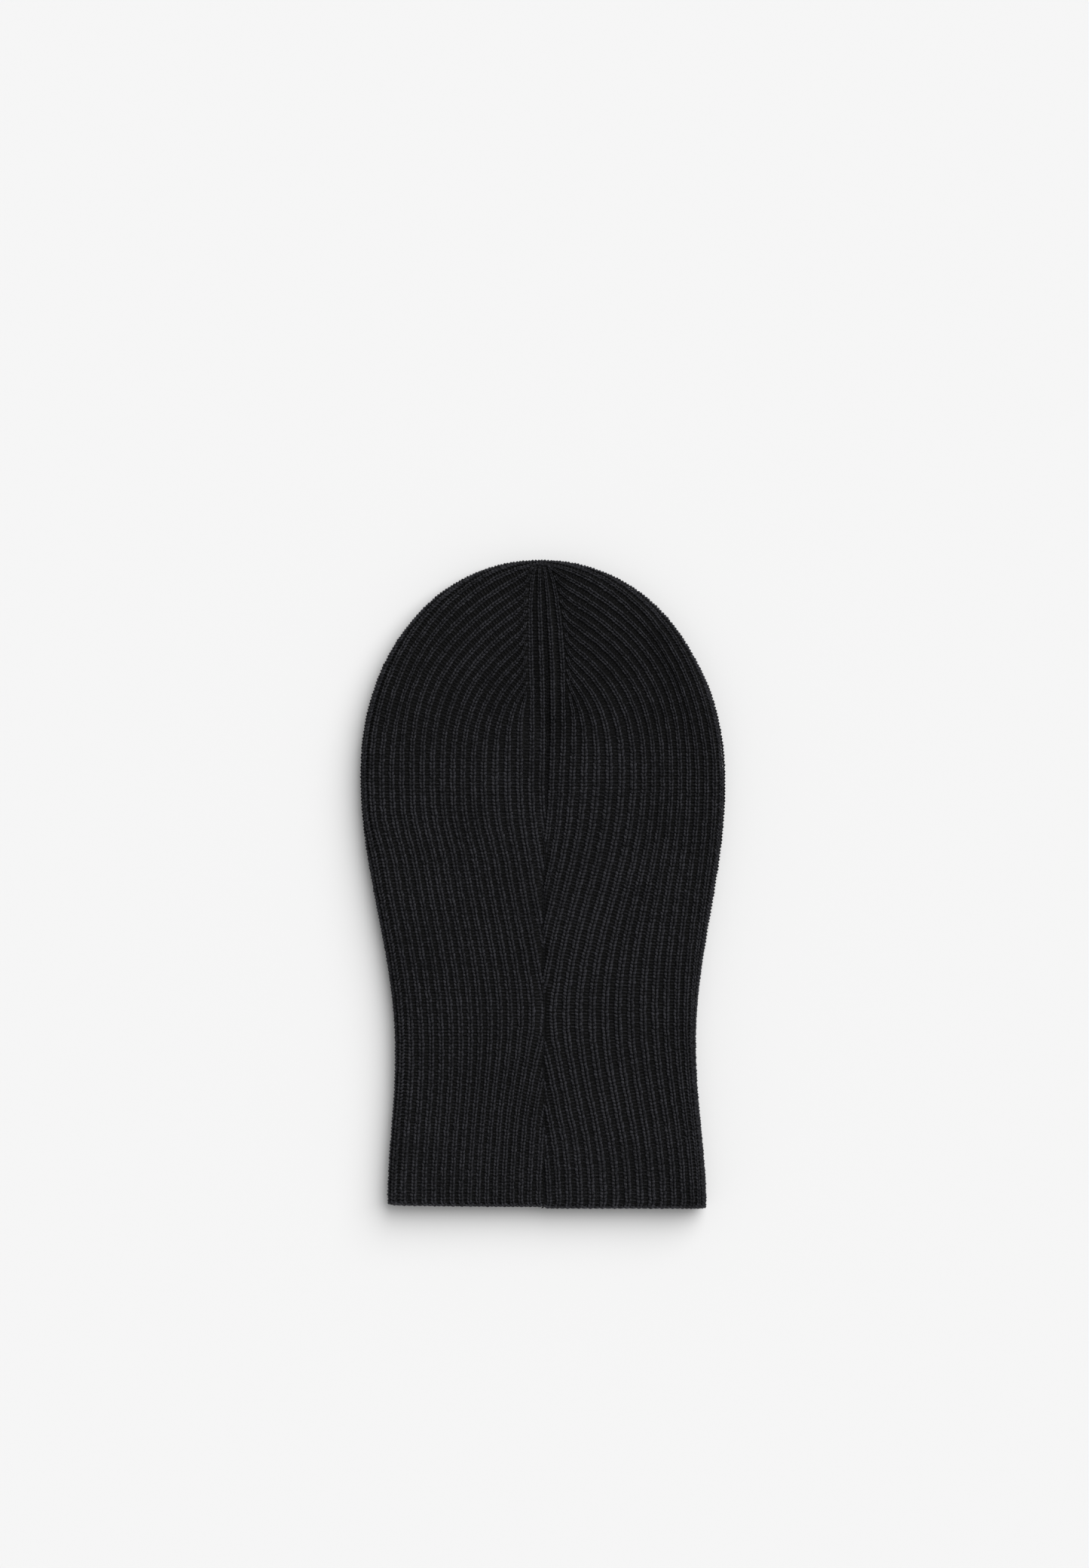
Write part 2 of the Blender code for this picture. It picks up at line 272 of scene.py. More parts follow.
def back_rib(half, j):
    """The middle of the j-th rib from the seam on one half of the back, from the hem up."""
    k = half.ribs - 1 - j
    widest = widest_x(half, j)
    start = half.sign * seam_at(WIDEST_UP) + widest
    up = np.linspace(-2 * MM, WIDEST_UP, LOWER_POINTS, endpoint=False)
    to_neck = smooth((half.neck_from - up) / (half.neck_from - half.neck_to))
    to_hem = smooth((half.hem_from - up) / (half.hem_from - half.hem_to))
    to_neck = to_neck * smooth((WIDEST_UP - up) / (12 * MM))
    inside = (WIDE - start) * (1 - to_neck) + from_fold(half.neck, k) * to_neck
    inside = inside * (1 - to_hem) + from_fold(half.hem, k) * to_hem
    x = half_width(up) + EASE - inside
    x -= PINCH * np.exp(-x.clip(0) / (8 * MM)) * bell(up - PINCH_UP, 20 * MM)
    lower = np.column_stack([x, up])
    if j < EDGE_RIBS:
        up = np.linspace(WIDEST_UP, SEAM_TOP_UP + 6 * MM, 150)
        beside = (j + 0.5) / EDGE_RIBS * edge_strip(up)
        x = widest + (beside - widest) * smooth((up - WIDEST_UP) / (30 * MM))
        return np.vstack([lower, np.column_stack([x + half.sign * seam_at(up), up])])
    if j < FIRST_OVER:
        end_up = FIRST_JOIN_UP + JOIN_STEP * (j - EDGE_RIBS)
        up = np.linspace(WIDEST_UP, end_up + 6 * MM, 220)
        power = 2.9 + 4 * math.exp((EDGE_RIBS - j) / 1.2)
        share = (up - WIDEST_UP) / (end_up - WIDEST_UP)
        clear = (widest - EDGE_WIDTH) * (1 - share**power)
        clear = (clear + np.sqrt(clear**2 + (3.5 * MM) ** 2)) / 2
        clear += (widest - EDGE_WIDTH - clear[0]) * (1 - share).clip(0) ** 2
        x = edge_strip(up) + clear
        x += half.sign * (seam_at(WIDEST_UP) + (seam_at(up) - seam_at(WIDEST_UP)) * bell(x, 50 * MM))
        return np.vstack([lower, np.column_stack([x, up])[clear > CLEAR_OF_SEAM]])
    over = np.linspace(0, 1, DOME_POINTS) ** 2.6
    inside = (WIDE - start) * (1 - over) + (OVER_FIRST - OVER_STEP * (j - FIRST_OVER)) * over
    upper = LAID_FLAT[DOME] - inside[:, None] * OUTWARDS[DOME]
    return np.vstack([lower, upper[upper[:, 1] > WIDEST_UP]])


def front_rib(half, n, count):
    """The middle of the n-th rib from the centre front, which arches over the face opening."""
    outermost = back_rib(half, half.ribs - 1)
    up = np.linspace(-2 * MM, WIDEST_UP, LOWER_POINTS, endpoint=False)
    beyond = half_width(up) + EASE - np.interp(up, outermost[:, 1], outermost[:, 0])
    share = (n + 0.5) / (count - 0.5)
    lower = np.column_stack([share * (half_width(up) + EASE + beyond - RIB), up])
    angle = np.linspace(0, math.pi / 2, 220)
    top = lower[-1, 0] * np.cos(angle).clip(0) ** (2 / DOME_POWER)
    tall = LENGTH + EASE - WIDEST_UP - OVER_STEP * (half.ribs - 1 - FIRST_OVER)
    rise = share * tall * np.sin(angle) ** (2 / DOME_POWER)
    return np.vstack([lower, np.column_stack([top, WIDEST_UP + rise])])


def distance_to(points, line):
    if line is None:
        return np.full(len(points), RIB)
    found = np.empty(len(points))
    for start in range(0, len(points), 2000):
        apart = points[start : start + 2000, None, :] - line[None, :, :]
        found[start : start + 2000] = np.sqrt((apart**2).sum(2).min(1))
    return found


def stitches_along(line, inner, outer, shift=0.0):
    """Evenly spaced stitches on a rib: places, directions and the room to the ribs beside it."""
    steps = np.linalg.norm(np.diff(line, axis=0), axis=1)
    length = np.concatenate([[0], np.cumsum(steps)])
    start = np.interp(WIDEST_UP, line[:LOWER_POINTS, 1], length[:LOWER_POINTS])
    first = math.ceil((0.4 * COURSE - start) / COURSE)
    last = math.floor((length[-1] - start) / COURSE)
    at = start + (np.arange(first, last + 1) + shift) * COURSE
    at = at[(at > 0.4 * COURSE) & (at < length[-1])]
    places, before, after = (
        np.column_stack([np.interp(at + step, length, line[:, k]) for k in (0, 1)])
        for step in (0, -COURSE / 2, COURSE / 2)
    )
    tangents = after - before
    tangents /= np.linalg.norm(tangents, axis=1)[:, None]
    room = np.column_stack([distance_to(places, inner), distance_to(places, outer)])
    return places, tangents, room.clip(0.45 * RIB, 1.4 * RIB)


# ---------------------------------------------------------------- yarn


def yarn_template(path, radii, sides):
    """A short length of yarn, pointed at both ends: its points, its quads and its triangles."""
    path = np.array(path) * MM
    radii = np.array(radii) * MM
    along = np.gradient(path, axis=0)
    along /= np.linalg.norm(along, axis=1)[:, None]
    points = [path[0]]
    for centre, direction, radius in zip(path[1:-1], along[1:-1], radii):
        first = np.cross(direction, (0.0, 0.0, 1.0))
        first /= np.linalg.norm(first)
        second = np.cross(first, direction)
        for k in range(sides):
            angle = 2 * math.pi * k / sides
            points.append(centre + radius * (math.cos(angle) * first + math.sin(angle) * second))
    points.append(path[-1])
    rings = len(radii)
    last = 1 + rings * sides
    quads, triangles = [], []
    for k in range(sides):
        j = (k + 1) % sides
        triangles.append((0, 1 + k, 1 + j))
        triangles.append((last, 1 + (rings - 1) * sides + j, 1 + (rings - 1) * sides + k))
        for ring in range(rings - 1):
            low, high = 1 + ring * sides, 1 + (ring + 1) * sides
            quads.append((low + k, high + k, high + j, low + j))
    return np.array(points), np.array(quads), np.array(triangles)


def leg_path(hand):
    """One leg of a knit stitch: out from under the stitch below, up, and in under the one above."""
    return [
        (hand * 0.22, -1.2, -2.3),
        (hand * 0.63, -0.62, -1.12),
        (hand * 0.99, 0.0, -0.78),
        (hand * 1.29, 0.62, -1.16),
        (hand * 1.43, 1.2, -2.4),
    ]


LEG_RADII = (0.54, 0.80, 0.54)
BAR_PATH = [(-2.1, -0.1, -2.3), (-1.0, 0.1, -1.65), (0, 0.2, -1.5), (1.0, 0.1, -1.65), (2.1, -0.1, -2.3)]
BAR_RADII = (0.4, 0.48, 0.4)
LOOP_PATH = [
    (-1.0, 1.5, -2.2),
    (-1.1, 0.8, -1.2),
    (-0.85, 0.1, -0.95),
    (0, -0.15, -0.9),
    (0.85, 0.1, -0.95),
    (1.1, 0.8, -1.2),
    (1.0, 1.5, -2.2),
]
LOOP_RADII = (0.72, 0.8, 0.82, 0.8, 0.72)
THREAD_PATH = [(0, -1.15, 0.35), (0, -0.55, -0.12), (0, 0, -0.2), (0, 0.55, -0.12), (0, 1.15, 0.35)]
THREAD_RADII = (0.26, 0.3, 0.26)


class Yarns:
    """Lengths of yarn gathered into one piece after another, each below a number of faces."""

    def __init__(self, name, material, with_slot):
        self.name, self.material, self.with_slot = name, material, with_slot
        self.pieces = []
        self.empty()

    def empty(self):
        self.points, self.quads, self.triangles = [], [], []
        self.count = self.faces = 0

    def add(self, template, place, along, across, normal, scale):
        points, quads, triangles = template
        if not len(place):
            return
        turned = (
            place[:, None, :]
            + (points[None, :, 0] * scale[:, 0:1])[..., None] * across[:, None, :]
            + (points[None, :, 1] * scale[:, 1:2])[..., None] * along[:, None, :]
            + (points[None, :, 2] * scale[:, 2:3])[..., None] * normal[:, None, :]
        )
        starts = self.count + np.arange(len(place)) * len(points)
        self.points.append(turned.reshape(-1, 3))
        self.quads.append((quads[None] + starts[:, None, None]).reshape(-1, 4))
        self.triangles.append((triangles[None] + starts[:, None, None]).reshape(-1, 3))
        self.count += len(place) * len(points)
        self.faces += len(place) * (2 * len(quads) + len(triangles))
        if self.faces > PIECE_FACES:
            self.close()

    def add_mesh(self, points, quads):
        self.points.append(points)
        self.quads.append(quads + self.count)
        self.count += len(points)
        self.faces += 2 * len(quads)

    def close(self):
        if self.faces:
            name = f"{self.name}_{len(self.pieces) + 1:02d}"
            triangles = self.triangles or [np.empty((0, 3), int)]
            gathered = [np.concatenate(a) for a in (self.points, self.quads, triangles)]
            self.pieces.append(new_piece(name, mesh_of(name, *gathered), self.material))
            self.empty()
        return self.pieces


def tube(path, radius):
    """A closed loop of yarn along a ring of points: its points and its quads."""
    along = np.roll(path, -1, axis=0) - np.roll(path, 1, axis=0)
    along /= np.linalg.norm(along, axis=1)[:, None]
    first = np.cross(along, (0.15, 0.2, 0.97))
    first /= np.linalg.norm(first, axis=1)[:, None]
    second = np.cross(first, along)
    sides = 8
    angle = 2 * math.pi * np.arange(sides)[:, None] / sides
    rings = [p + radius * (np.cos(angle) * f + np.sin(angle) * s) for p, f, s in zip(path, first, second)]
    index = np.arange(len(path) * sides).reshape(len(path), sides)
    on, up = np.roll(index, -1, axis=1), np.roll(index, -1, axis=0)
    quads = np.stack([index, up, np.roll(up, -1, axis=1), on], axis=-1).reshape(-1, 4)
    return np.concatenate(rings), quads


def mesh_of(name, points, quads, triangles):
    mesh = bpy.data.meshes.new(name)
    mesh.vertices.add(len(points))
    mesh.vertices.foreach_set("co", points.astype(np.float32).ravel())
    corners = np.concatenate([quads.ravel(), triangles.ravel()]).astype(np.int32)
    mesh.loops.add(len(corners))
    mesh.loops.foreach_set("vertex_index", corners)
    starts = np.concatenate([np.arange(len(quads)) * 4, len(quads) * 4 + np.arange(len(triangles)) * 3])
    mesh.polygons.add(len(starts))
    mesh.polygons.foreach_set("loop_start", starts.astype(np.int32))
    mesh.update(calc_edges=True)
    mesh.shade_smooth()
    return mesh


def new_piece(name, mesh, material):
    obj = bpy.data.objects.new(name, mesh)
    bpy.context.scene.collection.objects.link(obj)
    mesh.materials.append(material)
    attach(obj, "root")
    return obj


# ---------------------------------------------------------------- materials


def wool(name, colour, light_colour, sheen, crown_shade_by=0.0):
    """Matte yarn with short fuzz: a little uneven in colour, with a fibrous surface.

    crown_shade_by is painted shade: how much further towards the darker colour it goes near the crown, where
    the ribs crowd and shade each other.
    """
    material = bpy.data.materials.new(name)
    material.use_nodes = True
    nodes, links = material.node_tree.nodes, material.node_tree.links
    shader = nodes["Principled BSDF"]
    shader.inputs["Roughness"].default_value = 0.82
    shader.inputs["Specular IOR Level"].default_value = 0.2
    shader.inputs["Sheen Weight"].default_value = sheen
    shader.inputs["Sheen Roughness"].default_value = 0.5
    shader.inputs["Sheen Tint"].default_value = (0.58, 0.6, 0.72, 1)
    place = nodes.new("ShaderNodeTexCoord")
    patches = nodes.new("ShaderNodeTexNoise")
    patches.inputs["Scale"].default_value = 520
    patches.inputs["Detail"].default_value = 4
    patches.inputs["Roughness"].default_value = 0.62
    worn = nodes.new("ShaderNodeTexNoise")
    worn.inputs["Scale"].default_value = 42
    worn.inputs["Detail"].default_value = 3
    both = nodes.new("ShaderNodeMix")
    both.inputs["Factor"].default_value = 0.16
    apart = nodes.new("ShaderNodeSeparateXYZ")
    # Painted shade: darker from the widest place up towards the crown, where the ribs crowd
    crown_shade = nodes.new("ShaderNodeMapRange")
    crown_shade.inputs["From Min"].default_value = HEM_Y + WIDEST_UP
    crown_shade.inputs["From Max"].default_value = HEM_Y + FIRST_JOIN_UP
    crown_shade.inputs["To Min"].default_value = 0
    crown_shade.inputs["To Max"].default_value = crown_shade_by
    darker = nodes.new("ShaderNodeMath")
    darker.operation = "SUBTRACT"
    shades = nodes.new("ShaderNodeValToRGB")
    shades.color_ramp.elements[0].position = 0.43
    shades.color_ramp.elements[0].color = (*colour, 1)
    shades.color_ramp.elements[1].position = 0.58
    shades.color_ramp.elements[1].color = (*light_colour, 1)
    fibres = nodes.new("ShaderNodeTexNoise")
    fibres.inputs["Scale"].default_value = 2600
    fibres.inputs["Detail"].default_value = 2
    bump = nodes.new("ShaderNodeBump")
    bump.inputs["Strength"].default_value = 0.5
    bump.inputs["Distance"].default_value = 0.0002
    links.new(place.outputs["Object"], patches.inputs["Vector"])
    links.new(place.outputs["Object"], fibres.inputs["Vector"])
    links.new(place.outputs["Object"], worn.inputs["Vector"])
    links.new(patches.outputs["Fac"], both.inputs["A"])
    links.new(worn.outputs["Fac"], both.inputs["B"])
    links.new(place.outputs["Object"], apart.inputs["Vector"])
    links.new(apart.outputs["Y"], crown_shade.inputs["Value"])
    links.new(both.outputs["Result"], darker.inputs[0])
    links.new(crown_shade.outputs["Result"], darker.inputs[1])
    links.new(darker.outputs[0], shades.inputs["Fac"])
    links.new(shades.outputs["Color"], shader.inputs["Base Color"])
    links.new(fibres.outputs["Fac"], bump.inputs["Height"])
    links.new(bump.outputs["Normal"], shader.inputs["Normal"])
    return material


def woven_ribbon(name, colour):
    """Off-white satin ribbon, with its threads as two crossed rows of fine waves."""
    material = bpy.data.materials.new(name)
    material.use_nodes = True
    nodes, links = material.node_tree.nodes, material.node_tree.links
    shader = nodes["Principled BSDF"]
    shader.inputs["Roughness"].default_value = 0.55
    place = nodes.new("ShaderNodeTexCoord")
    thread_pitch = 0.35 * MM
    heights = []
    for direction in ("X", "Y"):
        threads = nodes.new("ShaderNodeTexWave")
        threads.bands_direction = direction
        threads.inputs["Scale"].default_value = 1 / (thread_pitch * 3.2)
        threads.inputs["Distortion"].default_value = 0.4
        links.new(place.outputs["Object"], threads.inputs["Vector"])
        heights.append(threads.outputs["Fac"])
    woven = nodes.new("ShaderNodeMath")
    woven.operation = "MULTIPLY"
    shades = nodes.new("ShaderNodeValToRGB")
    shades.color_ramp.elements[0].color = (*[0.72 * c for c in colour], 1)
    shades.color_ramp.elements[1].color = (*colour, 1)
    bump = nodes.new("ShaderNodeBump")
    bump.inputs["Strength"].default_value = 0.35
    bump.inputs["Distance"].default_value = 0.0001
    for k in (0, 1):
        links.new(heights[k], woven.inputs[k])
    links.new(woven.outputs[0], shades.inputs["Fac"])
    links.new(shades.outputs["Color"], shader.inputs["Base Color"])
    links.new(woven.outputs[0], bump.inputs["Height"])
    links.new(bump.outputs["Normal"], shader.inputs["Normal"])
    return material


black_wool = wool("black_wool", (0.0034, 0.0034, 0.0041), (0.0246, 0.0246, 0.0287), 0.08)
# Painted shade: the same black yarn made darker for the valley bars, the inside and the band's valleys, where
# shade falls between the ribs
shade_painted_wool = wool("black_wool_painted_shade", (0.0016, 0.0016, 0.0020), (0.0124, 0.0124, 0.0145), 0.0, 0.06)
# Painted shade: near-black, far darker than the yarn, for the ground seen in the gaps between the loops
gap_shade_wool = wool("black_wool_gap_shade", (0.0002, 0.0002, 0.0003), (0.0005, 0.0005, 0.0006), 0.0)
seam_wool = wool("seam_wool", (0.0026, 0.0026, 0.0031), (0.0090, 0.0090, 0.0106), 0.0)
ribbon = woven_ribbon("label_ribbon", (0.62, 0.61, 0.58))


# ---------------------------------------------------------------- the ground of the fabric


def flat_grid():
    """Points over the whole outline laid flat, and the quads between them, as (x, up).

    Below the widest place the rows run straight across. Above it they fan out around its middle.
    """
    step = 3.0 * MM
    columns = int(2 * WIDE / step) // 2 * 2
    shares = np.linspace(-1, 1, columns + 1)
    rows = int(HEAD_UP / step)
    points, quads = [], []

    def add_grid(grid, fan=False):
        start = sum(len(p) for p in points)
        tall, wide = grid.shape[:2]
        points.append(grid.reshape(-1, 2))
        index = start + np.arange(tall * wide).reshape(tall, wide)
        if fan:  # round its middle, each quad takes in two slices
            low, middle, high = index[:-2:2], index[1:-1:2], index[2::2]
            quads.append(np.column_stack([low[:, 0], low[:, 1], middle[:, 1], high[:, 1]]))
            index = index[:, 1:]
        corner = [index[:-1, :-1], index[:-1, 1:], index[1:, 1:], index[1:, :-1]]
        quads.append(np.stack(corner, axis=-1).reshape(-1, 4))

    height = np.linspace(0, 1, rows + 1)[:, None]
    bottom = hem_up(shares * HEM_HALF)[None, :] - 0.2 * MM
    up = bottom + (HEAD_UP - bottom) * height
    add_grid(np.stack([shares[None, :] * (half_width(up) + EASE), up], axis=-1))
    angle = np.linspace(0, math.pi, 2 * int(math.pi * WIDE / step / 2) + 1)[:, None]
    share = shares[columns // 2 :][None, :]
    cos, sin = np.cos(angle), np.sin(angle).clip(0)
    x = share * WIDE * np.sign(cos) * np.abs(cos) ** (2 / DOME_POWER)
    y = HEAD_UP + share * (LENGTH + EASE - HEAD_UP) * sin ** (2 / DOME_POWER)
    add_grid(np.stack([x, y], axis=-1), fan=True)
    return np.concatenate(points), np.concatenate(quads)


def face_place(points):
    """How far out points of the front layer are, as a share of the oval where the face band joins it."""
    middle = (LINK_LOW + LINK_HIGH) / 2
    half = (LINK_HIGH - LINK_LOW) / 2
    return np.hypot((points[:, 0] - middle.x) / half.x, (points[:, 1] + HEM_Y - middle.y) / half.y)


def closed_shell(faces, n):
    """The quads of two surfaces of n points each with the same faces, joined along their open edges."""
    edges = np.concatenate([faces[:, [k, (k + 1) % 4]] for k in range(4)])
    codes = np.sort(edges, axis=1) @ [n, 1]
    _, where, count = np.unique(codes, return_index=True, return_counts=True)
    rim = edges[where[count == 1]]
    walls = np.column_stack([rim[:, 1], rim[:, 0], rim[:, 0] + n, rim[:, 1] + n])
    return np.concatenate([faces, faces[:, ::-1] + n, walls])


def knit_ground():
    """The thin near-black layer that the loops stand on, closed, with the neck and the face left open:
    painted shade seen in the gaps between the loops.
    """
    points, quads = flat_grid()
    outside, inside, faces = [], [], []
    along = np.tile([0.0, 1.0], (len(points), 1))
    within = face_place(points[quads].mean(1)) < 1
    rim = np.intersect1d(quads[within], quads[~within])
    oval_middle = ((LINK_LOW + LINK_HIGH) / 2).xy
    oval_middle = np.array([oval_middle.x, oval_middle.y - HEM_Y])
    open_points = points.copy()
    to_rim = GROUND_RIM / face_place(points[rim])[:, None]
    open_points[rim] = oval_middle + (points[rim] - oval_middle) * to_rim
    for number, side in enumerate((1, -1)):
        kept = quads if side > 0 else quads[~within]
        flat = points if side > 0 else open_points
        for depth, gathered in ((0, outside), (GROUND_THICKNESS, inside)):
            gathered.append(lay(flat, along, side, GROUND_DEPTH + depth)[0])
        faces.append((kept if side > 0 else kept[:, ::-1]) + number * len(points))
    outside, inside, faces = np.concatenate(outside), np.concatenate(inside), np.concatenate(faces)
    _, first, again = np.unique(
        np.round(outside / (0.01 * MM)).astype(int), axis=0, return_index=True, return_inverse=True
    )
    outside, inside, faces = outside[first], inside[first], again.reshape(-1)[faces]
    distinct = np.sort(faces, axis=1)
    faces = faces[(distinct[:, 1:] != distinct[:, :-1]).all(1)]
    used, again = np.unique(faces, return_inverse=True)
    outside, inside, faces = outside[used], inside[used], again.reshape(faces.shape)
    quads = closed_shell(faces, len(outside))
    mesh = mesh_of("knit_ground", np.concatenate([outside, inside]), quads, np.empty((0, 3), int))
    return new_piece("knit_ground", mesh, gap_shade_wool)


# ---------------------------------------------------------------- the knitted bag


def jitter(count, amount):
    return 1 + amount * random.standard_normal(count).clip(-2, 2)


def add_kept(yarns, template, place, along, across, normal, scale, kept):
    yarns.add(template, place[kept], along[kept], across[kept], normal[kept], scale[kept])


def turned_over(laid):
    """The same places, seen from the other face of the fabric."""
    place, along, across, normal = laid
    return place, along, -across, -normal


def knit_legs(yarns, laid, room, keep, sides, height=1.0):
    """Adds the two legs of each knit stitch. room is the width to the ribs on its two sides."""
    place, along, across, normal = laid
    count = len(place)
    stray = STRAY * random.standard_normal((count, 3)).clip(-2, 2)
    place = place + stray[:, :1] * along + stray[:, 1:2] * across + stray[:, 2:] * normal
    for hand in (-1, 1):
        width = room[:, 0 if hand < 0 else 1] / RIB
        scale = np.column_stack(
            [width * jitter(count, 0.08), jitter(count, 0.06), height * jitter(count, 0.06)]
        )
        template = yarn_template(leg_path(hand), LEG_RADII, sides)
        kept = keep(place + across * (hand * 0.9 * MM * width)[:, None])
        add_kept(yarns, template, place, along, across, normal, scale, kept)


def purl_bars(yarns, laid, room, keep):
    """Adds the bars of purl stitches, each as wide as the room for it."""
    place, along, across, normal = laid
    count = len(place)
    place = place + along * STRAY * random.standard_normal((count, 1)).clip(-2, 2)
    scale = np.column_stack([room / RIB, jitter(count, 0.08), jitter(count, 0.03)])
    template = yarn_template(BAR_PATH, BAR_RADII, 5)
    add_kept(yarns, template, place, along, across, normal, scale, keep(place))


def bare_wedge(places, inner, half):
    """The width from a rib to the seam, and where the next rib in has ended there and left it bare."""
    seam = half.sign * seam_at(places[:, 1])
    gap = places[:, 0] - seam
    bare = (gap > 1.4 * MM) & (gap < 1.4 * RIB)
    if inner is not None:
        lower = inner[:LOWER_POINTS]
        bare &= np.interp(places[:, 1], lower[:, 1], lower[:, 0]) < seam + CLEAR_OF_SEAM
        bare &= places[:, 1] < WIDEST_UP
    return gap, bare


def always(place):
    return np.ones(len(place), bool)


def back_to_flat(place):
    """x and height above the hem of places on the laid out piece."""
    up = place[:, 1] - HEM_Y
    return place[:, 0] - lean(up), up


def beside(places, tangents, distance):
    """Points at a distance from places, on the outer side of a rib that runs up."""
    return places + np.column_stack([tangents[:, 1], -tangents[:, 0]]) * distance[:, None]


def hem_loop(yarns, lines, half, side, keep):
    """The cast-on loops at the ends of the ribs, and on the inside at the ends of the valleys."""
    template = yarn_template(LOOP_PATH, LOOP_RADII, 6)
    lowers = [line[:LOWER_POINTS] for line in lines]
    ends = np.array([np.interp(1 * MM, lower[:, 1], lower[:, 0]) for lower in lowers])
    valleys = (ends[1:] + ends[:-1]) / 2
    bar = yarn_template(BAR_PATH, np.array(BAR_RADII) * 1.5, 6)
    flat = np.column_stack([valleys * half.sign, hem_up(valleys * half.sign) + 0.1 * MM])
    laid = lay(flat, np.tile([0.0, 1.0], (len(valleys), 1)), side, -0.5 * MM)
    gaps = np.diff(ends) / RIB
    scale = np.column_stack([gaps, np.ones(len(gaps)), np.ones(len(gaps))])
    add_kept(yarns, bar, *laid, scale, keep(laid[0]))
    for xs, inner in ((ends, False), (valleys, True)):
        flat = np.column_stack([xs * half.sign, hem_up(xs * half.sign) + 0.3 * MM])
        laid = lay(flat, np.tile([0.0, 1.0], (len(xs), 1)), side, FABRIC if inner else 0.0)
        laid = turned_over(laid) if inner else laid
        scale = np.column_stack([jitter(len(xs), 0.05), jitter(len(xs), 0.05), np.ones(len(xs))])
        add_kept(yarns, template, *laid, scale, keep(laid[0]))


def knit_layer(name, side, lines_of, leg_sides):
    """Knits one layer of the bag: legs and loops, valley bars, and the stitches that show inside."""
    legs = Yarns(f"{name}_ribs", black_wool, "black_rib_knit")
    # The valley bars and the stitches inside take the darker wool, painted shade
    bars = Yarns(f"{name}_valleys", shade_painted_wool, "black_rib_knit")
    inner_side = Yarns(f"{name}_inside", shade_painted_wool, "black_rib_knit")
    for half in (RIGHT, LEFT):
        flip = np.array([half.sign, 1.0])
        lines = lines_of(half)
        outwards = half.sign * side  # the sign of the direction away from the centre, in lay's across

        def keep(p, half=half, over=False, low=CLEAR_OF_HEM, past=0.0):
            x, up = back_to_flat(p)
            if side < 0:
                own = (face_place(np.column_stack([x, up])) > 1.01) & (x * half.sign > -past)
            else:
                own = (x - (0 if over else seam_at(up))) * half.sign > (0 if over else CLEAR_OF_SEAM)
            return own & (up > hem_up(x) + low)

        def keep_inside(p, half=half):
            x, up = back_to_flat(p)
            behind_face = (side > 0) & (face_place(np.column_stack([x, up])) < 1.02)
            own = (x - seam_at(up) * (side > 0)) * half.sign > CLEAR_OF_SEAM
            return own & (up > hem_up(x) + CLEAR_OF_HEM) & ((up < INSIDE_SHOWN_UP) | behind_face)

        hem_loop(legs, lines, half, side, lambda p: keep(p, low=-1 * MM))
        for j, line in enumerate(lines):
            inner = lines[j - 1] if j > 0 else None
            outer = lines[j + 1] if j + 1 < len(lines) else None
            shift = 0.35 if half is LEFT and side > 0 else 0.0
            places, tangents, room = stitches_along(line, inner, outer, shift)
            if side > 0 and j < EDGE_RIBS:
                narrow = edge_strip(places[:, 1]) / EDGE_RIBS * 1.05
                room = np.where(places[:, 1:] > WIDEST_UP, np.minimum(room, narrow[:, None]), room)

            def lay_beside(distance, depth=0.0, places=places, tangents=tangents):
                return lay(beside(places, tangents, distance) * flip, tangents * flip, side, depth)

            laid = lay_beside(0 * room[:, 0])
            over = side > 0 and j >= FIRST_OVER
            kept = lambda p, over=over: keep(p, over=over)
            by_hand = room if outwards > 0 else room[:, ::-1]
            slim = 1 - 0.20 * smooth((places[:, 1] - WIDEST_UP) / (40 * MM)) * (side > 0)
            knit_legs(legs, laid, by_hand * slim[:, None], kept, leg_sides)
            shown = kept(laid[0])
            purl_bars(bars, lay_beside(room[:, 1] / 2), room[:, 1], lambda p: kept(p) & shown)
            if side > 0:
                gap, bare = bare_wedge(places, inner, half)
                purl_bars(bars, lay_beside(-gap / 2), gap, lambda p: bare)
            elif j == 0 and half is RIGHT:
                purl_bars(bars, lay_beside(-room[:, 0] / 2), room[:, 0], lambda p: keep(p, past=0.5 * MM))
            within = turned_over(lay_beside(0 * room[:, 0], FABRIC))
            purl_bars(inner_side, within, room.mean(1), keep_inside)
            laid = turned_over(lay_beside(room[:, 1] / 2, FABRIC))
            knit_legs(inner_side, laid, room[:, [1, 1]], keep_inside, 5)
    return [*legs.close(), *bars.close(), *inner_side.close()]


def back_lines(half):
    return [back_rib(half, j) for j in range(half.ribs)]


def front_lines(half):
    return [front_rib(half, n, FRONT_RIBS) for n in range(FRONT_RIBS)]


# ---------------------------------------------------------------- seam, band and label


def seam_frames(first_up, last_up, pitch, depth, aside=0.0):
    up = np.arange(first_up, last_up, pitch)
    flat = np.column_stack([seam_at(up) + aside, up])
    tangents = np.gradient(flat, axis=0)
    return lay(flat, tangents / np.linalg.norm(tangents, axis=1)[:, None], +1, depth)


def back_seam():
    """The chain that links the panel's edges, in its groove, and the turned-in selvedges under it."""
    yarns = Yarns("back_seam", seam_wool, "seam_yarn")
    chain = seam_frames(1.5 * MM, SEAM_TOP_UP, 1.9 * MM, 0.5 * MM)
    knit_legs(yarns, chain, np.full((len(chain[0]), 2), CHAIN_ROOM), always, 6, 0.75)
    for aside in (-1.9 * MM, 1.9 * MM):
        selvedge = turned_over(seam_frames(2 * MM, SEAM_TOP_UP - 8 * MM, COURSE, FABRIC + 1.2 * MM, aside))
        knit_legs(yarns, selvedge, np.full((len(selvedge[0]), 2), 0.62 * RIB), always, 6, 1.1)
    return yarns.close()[0]


